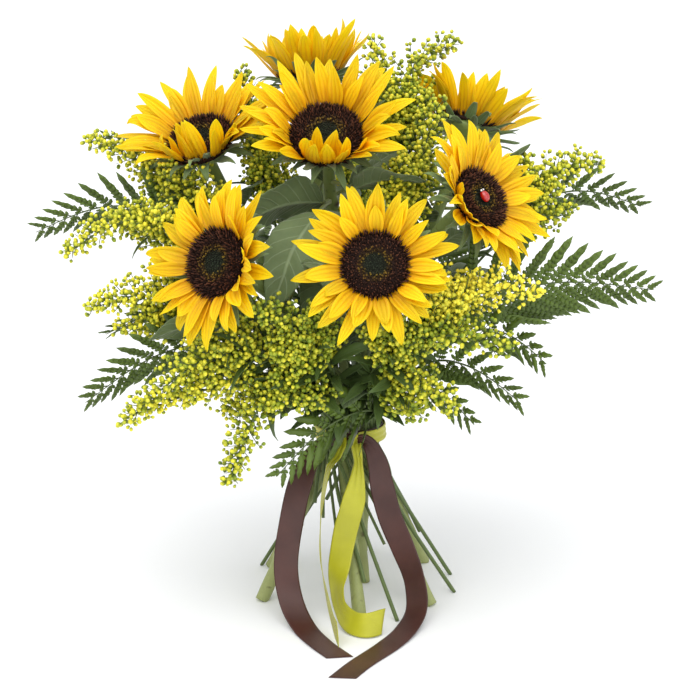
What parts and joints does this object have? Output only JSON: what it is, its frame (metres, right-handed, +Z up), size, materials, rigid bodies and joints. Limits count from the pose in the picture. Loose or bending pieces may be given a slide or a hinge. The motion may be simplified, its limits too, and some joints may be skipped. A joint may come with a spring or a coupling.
{
  "type": "sunflower bouquet",
  "caption": "Hand-tied bouquet of sunflowers with goldenrod and fern, tied at a narrow waist with brown and lime satin ribbons and standing on its splayed stems.",
  "frame": {"origin": "centre of the middle stem's flat cut end, on the surface the bouquet stands on", "axes": "+Z up, -Y towards the front, where most flowers face; +X to the right seen from the front"},
  "size_m": [0.5044, 0.4073, 0.4731],
  "materials": {
    "sunflower_stem": "matt green stem",
    "sunflower_disc": "rough",
    "sunflower_petal": "soft satin petal",
    "sunflower_leaf": "matt hairy leaf",
    "goldenrod": "small matt buds",
    "leatherleaf_fern": "leathery leaf",
    "brown_satin": "satin ribbon",
    "lime_satin": "satin ribbon",
    "ladybird_red": "gloss"
  },
  "bodies": {
    "root": {"brown_ribbon": "brown_satin", "fern_back_left": "leatherleaf_fern", "fern_back_right": "leatherleaf_fern", "fern_centre": "leatherleaf_fern", "fern_left": "leatherleaf_fern", "fern_left_high": "leatherleaf_fern", "fern_left_inner": "leatherleaf_fern", "fern_left_low": "leatherleaf_fern", "fern_right": "leatherleaf_fern", "fern_right_hanging": "leatherleaf_fern", "fern_right_high": "leatherleaf_fern", "fern_right_inner": "leatherleaf_fern", "fern_right_low": "leatherleaf_fern", "goldenrod_back": "goldenrod", "goldenrod_between_left": "goldenrod", "goldenrod_between_right": "goldenrod", "goldenrod_centre_left": "goldenrod", "goldenrod_front_hanging": "goldenrod", "goldenrod_front_left": "goldenrod", "goldenrod_front_low": "goldenrod", "goldenrod_front_right": "goldenrod", "goldenrod_left_high": "goldenrod", "goldenrod_left_low": "goldenrod", "goldenrod_left_middle": "goldenrod", "goldenrod_right_front": "goldenrod", "goldenrod_right_high": "goldenrod", "goldenrod_top_middle": "goldenrod", "goldenrod_top_right": "goldenrod", "ladybird": "ladybird_red", "leaf_back": "sunflower_leaf", "leaf_below_1": "sunflower_leaf", "leaf_below_3": "sunflower_leaf", "leaf_below_6": "sunflower_leaf", "leaf_hanging": "sunflower_leaf", "leaf_inner": "sunflower_leaf", "leaf_right": "sunflower_leaf", "leaf_right_of_1": "sunflower_leaf", "lime_ribbon": "lime_satin", "sunflower_1_disc": "sunflower_disc", "sunflower_1_petals": "sunflower_petal", "sunflower_1_stem": "sunflower_stem", "sunflower_2_disc": "sunflower_disc", "sunflower_2_petals": "sunflower_petal", "sunflower_2_stem": "sunflower_stem", "sunflower_3_disc": "sunflower_disc", "sunflower_3_petals": "sunflower_petal", "sunflower_3_stem": "sunflower_stem", "sunflower_4_disc": "sunflower_disc", "sunflower_4_petals": "sunflower_petal", "sunflower_4_stem": "sunflower_stem", "sunflower_5_disc": "sunflower_disc", "sunflower_5_petals": "sunflower_petal", "sunflower_5_stem": "sunflower_stem", "sunflower_6_disc": "sunflower_disc", "sunflower_6_petals": "sunflower_petal", "sunflower_6_stem": "sunflower_stem", "sunflower_7_disc": "sunflower_disc", "sunflower_7_petals": "sunflower_petal", "sunflower_7_stem": "sunflower_stem"}
  },
  "joints": []
}
